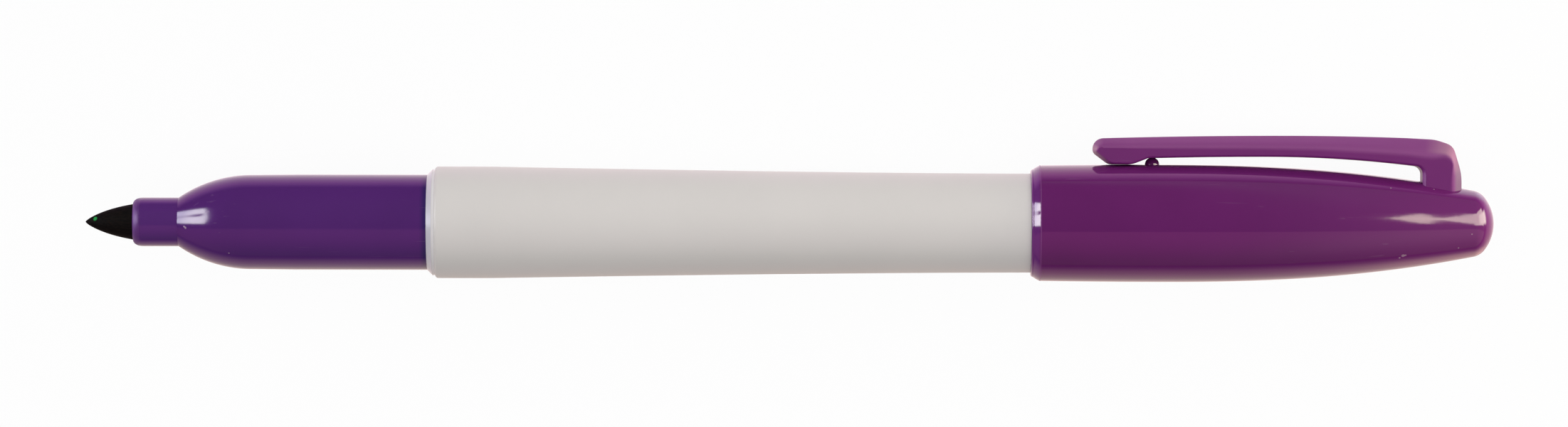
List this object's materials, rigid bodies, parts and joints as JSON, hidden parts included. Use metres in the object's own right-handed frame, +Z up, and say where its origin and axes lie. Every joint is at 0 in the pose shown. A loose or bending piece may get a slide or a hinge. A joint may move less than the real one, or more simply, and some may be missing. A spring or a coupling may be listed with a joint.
{
  "type": "permanent marker",
  "caption": "Round fibre-tip permanent marker with a tapered barrel, straight grip, pointed nib and a clip cap that posts on the rear, twists and pulls off.",
  "frame": {"origin": "on the surface that the marker lies on, under the middle of its length and width", "axes": "+X along the marker from nib to cap end, +Z up, with the clip towards +Y and rolled down until its edge meets the surface"},
  "size_m": [0.152, 0.0149, 0.0127],
  "materials": {
    "barrel_plastic": "satin off-white",
    "grip_plastic": "polished dark purple",
    "nib_fibre": "ink-soaked fibre",
    "reservoir_fibre": "ink-soaked fibre",
    "film": "thin film",
    "liner_plastic": "natural",
    "cap_plastic": "polished plum purple",
    "clip_plastic": "satin plum purple"
  },
  "bodies": {
    "marker": {"barrel": "barrel_plastic", "end_plug": "barrel_plastic", "grip_section": "grip_plastic", "nib": "nib_fibre", "ink_reservoir": "reservoir_fibre", "reservoir_film": "film"},
    "cap_liner": {"inner_cap": "liner_plastic"},
    "cap": {"cap_shell": "cap_plastic"},
    "clip": {"clip_arm": "clip_plastic"}
  },
  "joints": [
    {"name": "cap_slide", "type": "slide", "parent": "marker", "child": "cap_liner", "axis": [1, 0, 0], "range_m": [0, 0.03]},
    {"name": "cap_twist", "type": "hinge", "parent": "cap_liner", "child": "cap", "pos_m": [0.05, -0.00117, 0.00634], "axis": [1, 0, 0], "continuous": true},
    {"name": "clip_flex", "type": "hinge", "parent": "cap", "child": "clip", "pos_m": [0.06816, 0.00539, 0.00221], "axis": [0, -0.533, -0.8461], "range_deg": [0, 5], "stiffness_Nm_per_rad": 1.5}
  ]
}
